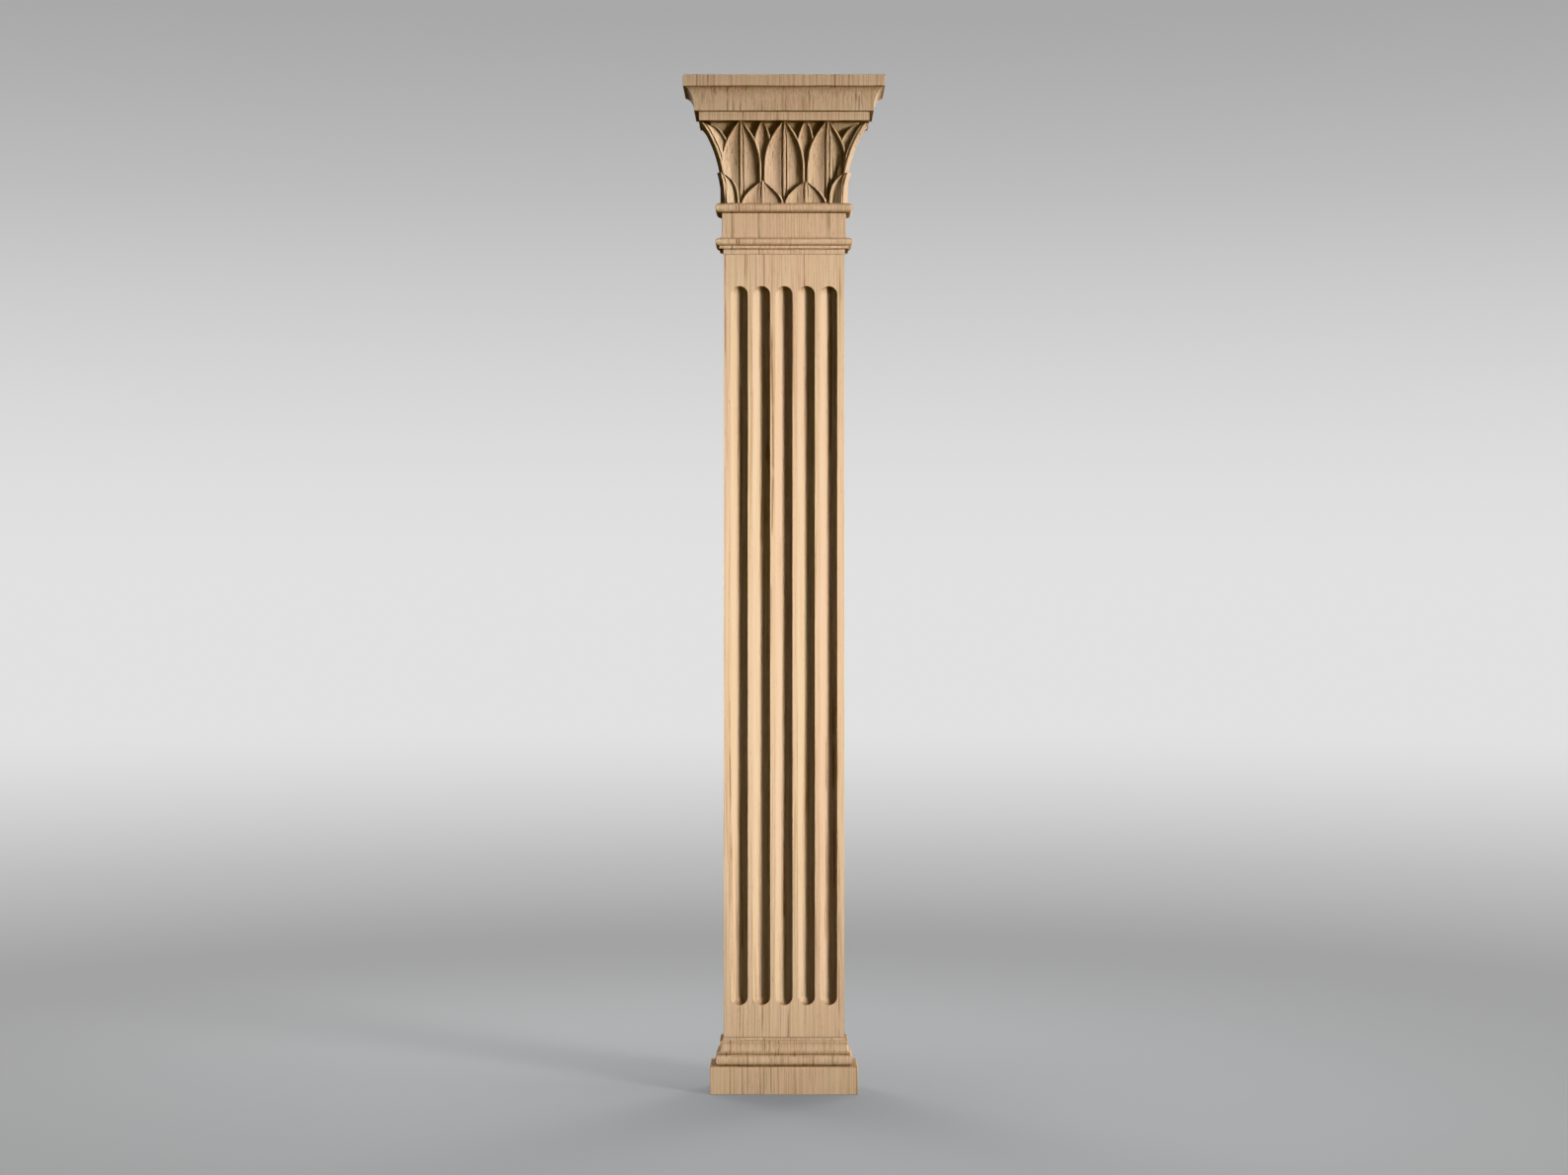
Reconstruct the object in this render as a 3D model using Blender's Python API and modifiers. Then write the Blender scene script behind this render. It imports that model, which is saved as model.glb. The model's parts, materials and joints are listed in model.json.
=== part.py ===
"""A carved wooden pilaster in three pieces: moulded base, fluted shaft and leaf capital.

Metres, +Z up. The front faces -Y and the flat back lies in the wall plane. The origin is the middle of
the underside of the whole pilaster's box.

The pilaster is the slice of a square column that stands proud of a wall. So each moulding is a profile
turned in four steps about the column's axis, which makes its mitred corners, and the wall plane then cuts
it flat. A profile is a list of (projection, height) pairs, the projection counted from the shaft's face.
"""

import math
from collections import namedtuple

import bmesh
import bpy

# The shaft, and the gap between pieces that stand on each other
SHAFT_WIDTH = 0.120
SHAFT_DEPTH = 0.040
SHAFT_LENGTH = 0.7793
JOINT_GAP = 0.0003

# The flutes: round-bottomed, with round ends
FLUTE_COUNT = 5
FLUTE_WIDTH = 0.0170
FLUTE_DEPTH = 0.0083
FLUTE_EDGE_MARGIN = 0.0070
FLUTE_STOP_LOW = 0.0320
FLUTE_STOP_HIGH = 0.0314
FLUTE_SIDES = 24
FLUTE_END_STEPS = 7

# The base, from the floor up
PLINTH_HEIGHT = 0.0274
PLINTH_PROJECTION = 0.0134
PLINTH_ARRIS = 0.0008
TORUS_HEIGHT = 0.0110
TORUS_PROJECTION = 0.0081
TORUS_BULGE = 0.0037
LIP_HEIGHT = 0.0016
LIP_PROJECTION = 0.0062
SCOTIA_LOWER_HEIGHT = 0.0061
SCOTIA_UPPER_HEIGHT = 0.0038
SCOTIA_PROJECTION = 0.0026
BEAD_HEIGHT = 0.0019
BEAD_PROJECTION = 0.0038
BEAD_ROUND = 0.0007
BASE_FILLET_HEIGHT = 0.0026
BASE_FILLET_PROJECTION = 0.0009

# The capital below its bell, from the shaft's top up
COLLAR_HEIGHT = 0.0052
COLLAR_PROJECTION = 0.0004
LOWER_FILLET_HEIGHT = 0.0029
LOWER_FILLET_PROJECTION = 0.0043
ASTRAGAL_HEIGHT = 0.0076
RING_PROJECTION = 0.0082
CAVETTO_HEIGHT = 0.0050
CAVETTO_DEPTH = 0.0017
NECK_HEIGHT = 0.0202
NECK_PROJECTION = 0.0017
UPPER_TORUS_HEIGHT = 0.0096

# The bell: the leaves' face stands at foot + rise * f + flare * f^3, f being the share of its height
BELL_HEIGHT = 0.0789
BELL_FOOT = 0.0010
BELL_RISE = 0.0060
BELL_FLARE = 0.0190
GROUND_DEPTH_FOOT = 0.0065
GROUND_DEPTH_TOP = 0.0095

# The abacus above the bell
BAND_HEIGHT = 0.0089
BAND_PROJECTION = 0.0243
HOLLOW_HEIGHT = 0.0229
HOLLOW_FOOT_PROJECTION = 0.0286
TOP_FILLET_HEIGHT = 0.0111
TOP_PROJECTION = 0.0393

# The leaves: a lower row between the corner leaves, and an upper row that stands over its joints
LOWER_LEAVES = 2
CORNER_REACH = 0.0193
LEAF_GAP = 0.0008
UPPER_LEAF_GAP = 0.0026
LEAF_TUCK = 0.0016
LEAF_FOOT_SINK = 0.0010
LEAF_SIDE_TAPER = 0.0040
RIM_WIDTH = 0.0016
RIM_STEP = 0.0007
RIB_HEIGHT = 0.0013
RIB_BEVEL = 0.0006
GROOVE_WIDTH = 0.0011
GROOVE_DEPTH = 0.0007
SCOOP_POWER = 2.2

# The most of a leaf's half width that its rib, its groove and its rim may take, which thins them at its tip
RIB_SHARE = 0.14
GROOVE_SHARE = 0.13
RIM_SHARE = 0.30

# How finely curves are divided
ROW_CROWDING = 1.7
BELL_STEPS = 8
ARC_STEPS = 8
MITRE_SIDES = 4

# What follows is worked out from the sizes above. The capital's top is the deepest part, so half of its
# depth lies behind the origin, and the wall plane with it
SHAFT_HALF = SHAFT_WIDTH / 2
WALL_Y = (SHAFT_DEPTH + TOP_PROJECTION) / 2
FACE_Y = WALL_Y - SHAFT_DEPTH
AXIS_Y = FACE_Y + SHAFT_HALF
BASE_HEIGHT = (PLINTH_HEIGHT + TORUS_HEIGHT + LIP_HEIGHT + SCOTIA_LOWER_HEIGHT + SCOTIA_UPPER_HEIGHT
               + BEAD_HEIGHT + BASE_FILLET_HEIGHT)
SHAFT_Z = BASE_HEIGHT + JOINT_GAP
CAPITAL_Z = SHAFT_Z + SHAFT_LENGTH + JOINT_GAP
BELL_Z = (CAPITAL_Z + COLLAR_HEIGHT + LOWER_FILLET_HEIGHT + ASTRAGAL_HEIGHT + CAVETTO_HEIGHT
          + NECK_HEIGHT + UPPER_TORUS_HEIGHT)
FOOT_WIDTH = SHAFT_WIDTH + 2 * BELL_FOOT
LEAF_PITCH = (FOOT_WIDTH - 2 * CORNER_REACH) / LOWER_LEAVES
CUT_MARGIN = 0.02

# A leaf. tip: its tip's share of the bell's height; half: its greatest half width; shoulder: the length
# over which it narrows to its tip, by the powers fall and bend; blunt: the half width of its tip; lift: how
# far its face stands before the bell's face at its foot, and curl: how much further at its tip; setback: how
# far a corner leaf's rim lies behind its rib; scoop: its depth; rib: half of its rib's width; root: how far
# its back is sunk in the ground; rows: how many steps it has from foot to tip
Leaf = namedtuple("Leaf", "tip half shoulder fall bend blunt lift curl setback scoop rib root rows")

LARGE = Leaf(tip=1.006, half=(LEAF_PITCH - UPPER_LEAF_GAP) / 2, shoulder=0.0517, fall=2.4, bend=1.0,
             blunt=0.0004, lift=-0.0034, curl=0.0012, setback=0.0, scoop=0.0040, rib=0.0017,
             root=0.0010, rows=11)
SMALL = Leaf(tip=1.005, half=0.0088, shoulder=0.0240, fall=2.4, bend=1.0, blunt=0.0004, lift=-0.0038,
             curl=0.0, setback=0.0, scoop=0.0026, rib=0.0, root=0.0014, rows=8)
CORNER = Leaf(tip=0.957, half=CORNER_REACH, shoulder=0.0123, fall=3.0, bend=3.0, blunt=0.0081, lift=0.0,
              curl=0.0, setback=0.0040, scoop=0.0022, rib=0.0024, root=0.0018, rows=11)
LOWER = Leaf(tip=0.281, half=(LEAF_PITCH - LEAF_GAP) / 2, shoulder=0.0235, fall=1.75, bend=1.0,
             blunt=0.0004, lift=0.0, curl=0.0002, setback=0.0, scoop=0.0024, rib=0.0014,
             root=0.0022, rows=7)
LOWER_CORNER = Leaf(tip=0.380, half=CORNER_REACH - LEAF_GAP / 2, shoulder=0.0210, fall=2.2, bend=2.2,
                    blunt=0.0081, lift=0.0011, curl=0.0012, setback=0.0022, scoop=0.0028, rib=0.0026,
                    root=0.0026, rows=8)


def new_collection(name):
    collection = bpy.data.collections.new(name)
    bpy.context.scene.collection.children.link(collection)
    return collection


def wood(name, colour, roughness):
    material = bpy.data.materials.new(name)
    material.use_nodes = True
    shader = material.node_tree.nodes["Principled BSDF"]
    shader.inputs["Base Color"].default_value = (*colour, 1.0)
    shader.inputs["Roughness"].default_value = roughness
    shader.inputs["Metallic"].default_value = 0.0
    return material


def add_object(name, mesh, collection, material=None):
    obj = bpy.data.objects.new(name, mesh)
    collection.objects.link(obj)
    if material:
        mesh.materials.append(material)
    return obj


def as_cutter(obj):
    obj.hide_render = True
    obj.display_type = "WIRE"
    return obj


def arc(centre, radii, start, end, steps):
    """Points of an elliptical arc, its angles in degrees, as (projection, height) pairs."""
    points = []
    for i in range(steps + 1):
        angle = math.radians(start + (end - start) * i / steps)
        points.append((centre[0] + radii[0] * math.cos(angle), centre[1] + radii[1] * math.sin(angle)))
    return points


def half_round(projection, bulge, low, height):
    """A moulding that bulges out to the projection between two heights."""
    centre = (projection - bulge, low + height / 2)
    return arc(centre, (bulge, height / 2), -90, 90, ARC_STEPS)


def turned(name, outline, collection, steps, material=None):
    """A closed body turned from an outline of (radius, height) pairs that runs from its foot up."""
    outline = [(0.0, outline[0][1])] + outline + [(0.0, outline[-1][1])]
    mesh = bpy.data.meshes.new(name)
    points = [(radius, 0.0, height) for radius, height in reversed(outline)]
    mesh.from_pydata(points, [(i, i + 1) for i in range(len(points) - 1)], [])
    obj = add_object(name, mesh, collection, material)
    screw = obj.modifiers.new("turn", "SCREW")
    screw.steps = steps
    screw.render_steps = steps
    screw.use_smooth_shade = steps > MITRE_SIDES
    screw.use_merge_vertices = True
    screw.merge_threshold = 0.00001
    return obj


def mitred(name, profile, collection, material):
    """A square moulding about the column's axis, which stands at the profile's projections."""
    to_corner = math.sqrt(2)
    outline = [((SHAFT_HALF + projection) * to_corner, height) for projection, height in profile]
    obj = turned(name, outline, collection, MITRE_SIDES, material)
    obj.location = (0.0, AXIS_Y, 0.0)
    obj.rotation_euler = (0.0, 0.0, math.radians(45))
    return obj


def boolean(obj, name, operation, other):
    """A Boolean with one object, or with a whole collection of them."""
    modifier = obj.modifiers.new(name, "BOOLEAN")
    modifier.operation = operation
    modifier.solver = "EXACT"
    if isinstance(other, bpy.types.Collection):
        modifier.operand_type = "COLLECTION"
        modifier.collection = other
    else:
        modifier.object = other


def weld(obj):
    """Joins the points that a union leaves within a hundredth of a millimetre of each other."""
    modifier = obj.modifiers.new("weld", "WELD")
    modifier.merge_threshold = 0.00001


def box(name, low, high, collection, material=None):
    bm = bmesh.new()
    bmesh.ops.create_cube(bm, size=1.0)
    for vertex in bm.verts:
        for axis in range(3):
            vertex.co[axis] = low[axis] + (vertex.co[axis] + 0.5) * (high[axis] - low[axis])
    mesh = bpy.data.meshes.new(name)
    bm.to_mesh(mesh)
    bm.free()
    return add_object(name, mesh, collection, material)


def base_profile():
    profile = [(PLINTH_PROJECTION, 0.0),
               (PLINTH_PROJECTION, PLINTH_HEIGHT - PLINTH_ARRIS),
               (PLINTH_PROJECTION - PLINTH_ARRIS, PLINTH_HEIGHT)]
    z = PLINTH_HEIGHT
    profile += half_round(TORUS_PROJECTION, TORUS_BULGE, z, TORUS_HEIGHT)
    z += TORUS_HEIGHT
    profile += [(LIP_PROJECTION, z + LIP_HEIGHT / 2)]
    z += LIP_HEIGHT
    waist = z + SCOTIA_LOWER_HEIGHT
    reach = (LIP_PROJECTION - SCOTIA_PROJECTION, SCOTIA_LOWER_HEIGHT)
    profile += arc((LIP_PROJECTION, waist), reach, -90, -180, ARC_STEPS)
    reach = (BEAD_PROJECTION - SCOTIA_PROJECTION, SCOTIA_UPPER_HEIGHT)
    profile += arc((BEAD_PROJECTION, waist), reach, 180, 90, ARC_STEPS // 2)[1:]
    z = waist + SCOTIA_UPPER_HEIGHT + BEAD_HEIGHT
    profile += [(BEAD_PROJECTION, z - BEAD_ROUND), (BEAD_PROJECTION - BEAD_ROUND, z)]
    profile += [(BASE_FILLET_PROJECTION, z), (BASE_FILLET_PROJECTION, z + BASE_FILLET_HEIGHT)]
    return profile


def bell_face(z):
    """How far the leaves' face stands before the shaft's face at a height of the bell."""
    share = (z - BELL_Z) / BELL_HEIGHT
    return BELL_FOOT + BELL_RISE * share + BELL_FLARE * share ** 3


def bell_ground(z):
    """The same for the ground that the leaves stand on."""
    share = (z - BELL_Z) / BELL_HEIGHT
    return bell_face(z) - GROUND_DEPTH_FOOT - (GROUND_DEPTH_TOP - GROUND_DEPTH_FOOT) * share


def capital_profile():
    z = CAPITAL_Z
    profile = [(COLLAR_PROJECTION, z), (COLLAR_PROJECTION, z + COLLAR_HEIGHT)]
    z += COLLAR_HEIGHT
    profile += [(LOWER_FILLET_PROJECTION, z), (LOWER_FILLET_PROJECTION, z + LOWER_FILLET_HEIGHT)]
    z += LOWER_FILLET_HEIGHT
    profile += half_round(RING_PROJECTION, ASTRAGAL_HEIGHT / 2, z, ASTRAGAL_HEIGHT)
    z += ASTRAGAL_HEIGHT
    top = z + CAVETTO_HEIGHT
    profile += arc((NECK_PROJECTION + CAVETTO_DEPTH, top), (CAVETTO_DEPTH, CAVETTO_HEIGHT), -90, -180,
                   ARC_STEPS // 2)
    z = top + NECK_HEIGHT
    profile += [(NECK_PROJECTION, z)]
    profile += half_round(RING_PROJECTION, UPPER_TORUS_HEIGHT / 2, z, UPPER_TORUS_HEIGHT)
    for i in range(BELL_STEPS + 1):
        z = BELL_Z + BELL_HEIGHT * i / BELL_STEPS
        profile += [(bell_ground(z), z)]
    profile += [(BAND_PROJECTION, z), (BAND_PROJECTION, z + BAND_HEIGHT)]
    z += BAND_HEIGHT
    top = z + HOLLOW_HEIGHT
    reach = (TOP_PROJECTION - HOLLOW_FOOT_PROJECTION, HOLLOW_HEIGHT)
    profile += arc((TOP_PROJECTION, z), reach, 180, 90, ARC_STEPS)
    profile += [(TOP_PROJECTION, top + TOP_FILLET_HEIGHT)]
    return profile


def leaf_tip(leaf):
    return BELL_Z + leaf.tip * BELL_HEIGHT


def leaf_outline(leaf, z):
    """Half of a leaf's whole width at a height."""
    share = min(1.0, max(0.0, 1.0 - (leaf_tip(leaf) - z) / leaf.shoulder))
    return max(leaf.blunt, leaf.half * (1.0 - share ** leaf.fall) ** (1.0 / leaf.bend))


def leaf_room(leaf, z):
    """How far a leaf reaches from its middle before it goes under the large leaf beside it."""
    large = leaf_outline(LARGE, z)
    if leaf is SMALL:
        return LEAF_PITCH / 2 - large + LEAF_TUCK
    if leaf is CORNER:
        edge = LEAF_PITCH * LOWER_LEAVES / 2 + large
        return max(SHAFT_HALF + bell_face(z) - edge + LEAF_TUCK, leaf.rib)
    return leaf.half


def leaf_heights(leaf):
    """The heights of a leaf's sections, from its root up, closer together near its tip."""
    foot = BELL_Z - LEAF_FOOT_SINK
    length = leaf_tip(leaf) - foot
    return [foot + length * (1.0 - (1.0 - i / leaf.rows) ** ROW_CROWDING) for i in range(leaf.rows + 1)]


def leaf_marks(leaf, full):
    """Where a leaf's rib, scoop and rim end, counted from its middle at its whole half width."""
    rib = min(leaf.rib, full * RIB_SHARE)
    start = rib + min(GROOVE_WIDTH, full * GROOVE_SHARE)
    inner = full - min(RIM_WIDTH, full * RIM_SHARE)
    return rib, start, inner, inner + (full - inner) * 0.25


def face_relief(leaf, full, rim):
    """Half of a leaf's section from its middle out: (distance, projection) pairs.

    The middle has a rib between two grooves, or none, and the scoop rises from it to the rim."""
    rib, start, inner, crest = leaf_marks(leaf, full)
    depth = leaf.scoop * min(1.0, full / leaf.half)
    floor = rim - depth
    relief = []
    if leaf.rib:
        relief += [(0.0, floor + RIB_HEIGHT), (rib * 0.8, floor + RIB_HEIGHT * 0.8),
                   ((rib + start) / 2, floor - GROOVE_DEPTH)]
    for share in (0.0, 0.4, 0.75, 1.0):
        rise = (depth - RIM_STEP) * share ** SCOOP_POWER
        relief += [(start + (inner - start) * share, floor + rise)]
    return relief + [(crest, rim), (full, rim - RIM_STEP * 0.4)]


def corner_relief(leaf, full, face):
    """The same for a leaf that folds round a corner: its rib is the corner, and each half is dished."""
    rib, start, inner, crest = leaf_marks(leaf, full)
    rim = face - leaf.setback
    dip = leaf.scoop * min(1.0, full / leaf.half)
    flank = face - RIB_BEVEL
    relief = [(0.0, face), (rib, flank), ((rib + start) / 2, flank - GROOVE_DEPTH)]
    for share in (0.0, 0.3, 0.65, 1.0):
        level = flank + (rim - RIM_STEP - flank) * share - dip * 4 * share * (1 - share)
        relief += [(start + (inner - start) * share, level)]
    return relief + [(crest, rim), (full, rim - RIM_STEP * 0.4)]


def narrowed(relief, half):
    """As many points of a relief, drawn closer together so that they end at a smaller half width."""
    points = []
    for out, _ in relief:
        place = out * half / relief[-1][0]
        i = max(j for j in range(len(relief) - 1) if relief[j][0] <= place or j == 0)
        (low, start), (high, end) = relief[i:i + 2]
        level = start + (end - start) * (place - low) / (high - low)
        points.append((place, level))
    return points


def leaf_rows(leaf, relief_of):
    """For each height of a leaf: the height, its relief, its face's projection and its back's."""
    rows = []
    for z in leaf_heights(leaf):
        share = max(0.0, (z - BELL_Z) / (leaf_tip(leaf) - BELL_Z))
        face = bell_face(z) + leaf.lift + leaf.curl * share ** 3
        full = leaf_outline(leaf, z)
        relief = relief_of(leaf, full, face)
        room = leaf_room(leaf, z)
        if room < full:
            relief = narrowed(relief, room)
        rows.append((z, relief, face, bell_ground(z) - leaf.root))
    return rows


def face_leaf_sections(leaf, middle):
    """Sections of a leaf on the front of the column, about a line at the given distance from the axis."""
    sections = []
    for z, relief, face, back in leaf_rows(leaf, face_relief):
        half = relief[-1][0]
        outline = [(-out, level) for out, level in reversed(relief)] + relief[bool(leaf.rib):]
        tail = half - min(LEAF_SIDE_TAPER, half * 0.5)
        outline += [(tail, back), (-tail, back)]
        sections.append([(middle + out, -SHAFT_HALF - level, z) for out, level in outline])
    return sections


def corner_leaf_sections(leaf):
    """Sections of a leaf that folds round the column's front right corner, its rib on the mitre."""
    sections = []
    for z, relief, face, back in leaf_rows(leaf, corner_relief):
        half = relief[-1][0]
        corner = SHAFT_HALF + face
        depth = min(face - back, half * 0.8)
        front = [(corner - out, SHAFT_HALF + level) for out, level in reversed(relief)]
        outline = front + [(y, x) for x, y in reversed(front[:-1])]
        outline += [(corner - depth, corner - half * 0.9), (SHAFT_HALF + back, SHAFT_HALF + back),
                    (corner - half * 0.9, corner - depth)]
        sections.append([(x, -y, z) for x, y in outline])
    return sections


def loft(name, sections, collection, turn):
    """A closed body through like sections, turned about the column's axis by quarter turns."""
    bm = bmesh.new()
    rings = [[bm.verts.new(point) for point in section] for section in sections]
    count = len(rings[0])
    for below, above in zip(rings, rings[1:]):
        for i in range(count):
            j = (i + 1) % count
            bm.faces.new((below[i], below[j], above[j], above[i]))
    bm.faces.new(list(reversed(rings[0])))
    bm.faces.new(rings[-1])
    bmesh.ops.recalc_face_normals(bm, faces=bm.faces)
    mesh = bpy.data.meshes.new(name)
    bm.to_mesh(mesh)
    bm.free()
    obj = as_cutter(add_object(name, mesh, collection))
    obj.location = (0.0, AXIS_Y, 0.0)
    obj.rotation_euler = (0.0, 0.0, math.radians(90) * turn)
    return obj


def leaf_middles(count):
    """Where the middles of a row of leaves stand across a face of the column."""
    return [(i - (count - 1) / 2) * LEAF_PITCH for i in range(count)]


def add_face_leaves(name, leaf, middles, collection):
    """A row of leaves on the front and on both sides, as far as they stand before the wall."""
    wall = SHAFT_DEPTH - SHAFT_HALF
    for side, turn in (("front", 0), ("right", 1), ("left", -1)):
        for i, middle in enumerate(middles):
            toward_wall = middle * turn
            if turn and toward_wall - leaf.half > wall:
                continue
            loft(f"{name}_{side}_{i + 1}", face_leaf_sections(leaf, middle), collection, turn)


def add_leaves(collection):
    add_face_leaves("large", LARGE, leaf_middles(LOWER_LEAVES + 1), collection)
    add_face_leaves("small", SMALL, leaf_middles(LOWER_LEAVES), collection)
    add_face_leaves("lower", LOWER, leaf_middles(LOWER_LEAVES), collection)
    for side, turn in (("right", 0), ("left", -1)):
        loft(f"corner_{side}", corner_leaf_sections(CORNER), collection, turn)
        loft(f"lower_corner_{side}", corner_leaf_sections(LOWER_CORNER), collection, turn)


def add_flutes(collection):
    """Cutters for the flutes: round bars with round ends, sunk in the shaft's face."""
    radius = (FLUTE_WIDTH ** 2 / 4 + FLUTE_DEPTH ** 2) / (2 * FLUTE_DEPTH)
    spread = SHAFT_WIDTH - 2 * FLUTE_EDGE_MARGIN - FLUTE_WIDTH
    low = SHAFT_Z + FLUTE_STOP_LOW
    high = SHAFT_Z + SHAFT_LENGTH - FLUTE_STOP_HIGH
    outline = arc((0.0, low + radius), (radius, radius), -90, 0, FLUTE_END_STEPS)[1:]
    outline += arc((0.0, high - radius), (radius, radius), 0, 90, FLUTE_END_STEPS)[:-1]
    for i in range(FLUTE_COUNT):
        x = spread * (i / (FLUTE_COUNT - 1) - 0.5)
        flute = as_cutter(turned(f"flute_{i + 1}", outline, collection, FLUTE_SIDES))
        flute.location = (x, FACE_Y + FLUTE_DEPTH - radius, 0.0)


def main():
    for obj in list(bpy.data.objects):
        bpy.data.objects.remove(obj)
    parts = new_collection("pilaster")
    cutters = new_collection("cutters")
    flutes = new_collection("flute_cutters")
    leaves = new_collection("leaf_solids")

    reach = SHAFT_HALF + TOP_PROJECTION + CUT_MARGIN
    top = BELL_Z + BELL_HEIGHT + BAND_HEIGHT + HOLLOW_HEIGHT + TOP_FILLET_HEIGHT + CUT_MARGIN
    wall = as_cutter(box("wall", (-reach, WALL_Y, -CUT_MARGIN), (reach, AXIS_Y + reach, top), cutters))

    base = mitred("base", base_profile(), parts, wood("base wood", (0.62, 0.42, 0.25), 0.55))
    boolean(base, "flat back", "DIFFERENCE", wall)

    shaft = box("shaft", (-SHAFT_HALF, FACE_Y, SHAFT_Z), (SHAFT_HALF, WALL_Y, SHAFT_Z + SHAFT_LENGTH),
                parts, wood("shaft wood", (0.70, 0.47, 0.27), 0.55))
    add_flutes(flutes)
    boolean(shaft, "flutes", "DIFFERENCE", flutes)

    capital = mitred("capital", capital_profile(), parts, wood("capital wood", (0.60, 0.41, 0.25), 0.55))
    add_leaves(leaves)
    boolean(capital, "leaves", "UNION", leaves)
    weld(capital)
    boolean(capital, "flat back", "DIFFERENCE", wall)


main()
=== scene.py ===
"""The looks of the carved wooden pilaster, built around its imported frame.

Metres, +Z up. The front faces -Y and the flat back lies in the wall plane. Base, shaft and capital are
made again here with finer relief: softened arrises, round rims and ribs, and smoother hollows.
"""

import json
import math
from collections import namedtuple

import bmesh
import bpy
from mathutils import Matrix, Vector

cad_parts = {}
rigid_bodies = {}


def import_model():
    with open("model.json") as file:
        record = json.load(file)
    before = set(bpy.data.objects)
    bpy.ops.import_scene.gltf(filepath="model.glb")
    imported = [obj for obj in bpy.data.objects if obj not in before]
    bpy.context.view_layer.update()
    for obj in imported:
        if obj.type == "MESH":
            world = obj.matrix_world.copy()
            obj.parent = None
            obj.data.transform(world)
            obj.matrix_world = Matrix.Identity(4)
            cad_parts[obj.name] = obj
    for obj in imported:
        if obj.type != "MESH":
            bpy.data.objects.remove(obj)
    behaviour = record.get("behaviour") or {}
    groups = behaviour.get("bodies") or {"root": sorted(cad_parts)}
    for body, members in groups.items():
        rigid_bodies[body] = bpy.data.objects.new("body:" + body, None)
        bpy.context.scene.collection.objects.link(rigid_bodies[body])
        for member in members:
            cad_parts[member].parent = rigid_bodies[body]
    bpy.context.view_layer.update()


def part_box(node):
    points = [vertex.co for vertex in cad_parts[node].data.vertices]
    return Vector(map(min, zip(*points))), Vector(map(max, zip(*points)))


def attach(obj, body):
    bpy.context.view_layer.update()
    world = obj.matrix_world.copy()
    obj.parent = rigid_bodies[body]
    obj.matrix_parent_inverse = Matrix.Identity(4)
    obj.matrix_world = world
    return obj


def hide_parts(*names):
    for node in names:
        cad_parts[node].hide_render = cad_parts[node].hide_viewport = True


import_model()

# The frame gives the shaft's place, its width and the heights of the joints
SHAFT_LOW, SHAFT_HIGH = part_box("shaft")
BASE_LOW, BASE_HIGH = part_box("base")
CAPITAL_LOW, CAPITAL_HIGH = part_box("capital")
SHAFT_HALF = (SHAFT_HIGH[0] - SHAFT_LOW[0]) / 2
FACE_Y = SHAFT_LOW[1]
WALL_Y = SHAFT_HIGH[1]
AXIS_Y = FACE_Y + SHAFT_HALF
SHAFT_DEPTH = WALL_Y - FACE_Y

# The camera: level and square on, with its focal length in pixels of the photograph
CAMERA_DISTANCE = 2.9
CAMERA_HEIGHT = 0.5025
PICTURE_PIXELS = 1588
FOCAL_PIXELS = 2950
SENSOR = 36.0
LENS = FOCAL_PIXELS / PICTURE_PIXELS * SENSOR

# The flutes
FLUTE_COUNT = 5
FLUTE_WIDTH = 0.0170
FLUTE_DEPTH = 0.0083
FLUTE_EDGE_MARGIN = 0.0070
FLUTE_STOP_LOW = 0.0320
FLUTE_STOP_HIGH = 0.0314
FLUTE_SIDES = 64
FLUTE_END_STEPS = 16
POLE_MERGE = 0.00001
ARRIS = 0.0003
ARRIS_SEGMENTS = 2
ARRIS_ANGLE = 40

# The base, from the floor up
PLINTH_HEIGHT = 0.0274
PLINTH_PROJECTION = 0.0134
PLINTH_ARRIS = 0.0008
TORUS_HEIGHT = 0.0110
TORUS_PROJECTION = 0.0081
TORUS_BULGE = 0.0037
LIP_HEIGHT = 0.0016
LIP_PROJECTION = 0.0062
SCOTIA_LOWER_HEIGHT = 0.0061
SCOTIA_UPPER_HEIGHT = 0.0038
SCOTIA_PROJECTION = 0.0026
BEAD_HEIGHT = 0.0019
BEAD_PROJECTION = 0.0038
BEAD_ROUND = 0.0007
BASE_FILLET_PROJECTION = 0.0009

# The capital below its bell, from the shaft's top up
COLLAR_HEIGHT = 0.0052
COLLAR_PROJECTION = 0.0004
LOWER_FILLET_HEIGHT = 0.0029
LOWER_FILLET_PROJECTION = 0.0043
ASTRAGAL_HEIGHT = 0.0076
RING_PROJECTION = 0.0082
CAVETTO_HEIGHT = 0.0050
CAVETTO_DEPTH = 0.0017
NECK_HEIGHT = 0.0202
NECK_PROJECTION = 0.0017
UPPER_TORUS_HEIGHT = 0.0096

# The bell: the leaves' face stands at foot + rise * f + flare * f^3, f being the share of its height
BELL_HEIGHT = 0.0789
BELL_FOOT = 0.0010
BELL_RISE = 0.0060
BELL_FLARE = 0.0190
GROUND_DEPTH_FOOT = 0.0098
GROUND_DEPTH_TOP = 0.0115

# The abacus above the bell
BAND_HEIGHT = 0.0089
BAND_PROJECTION = 0.0243
HOLLOW_HEIGHT = 0.0229
HOLLOW_FOOT_PROJECTION = 0.0286
TOP_PROJECTION = 0.0393

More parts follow.
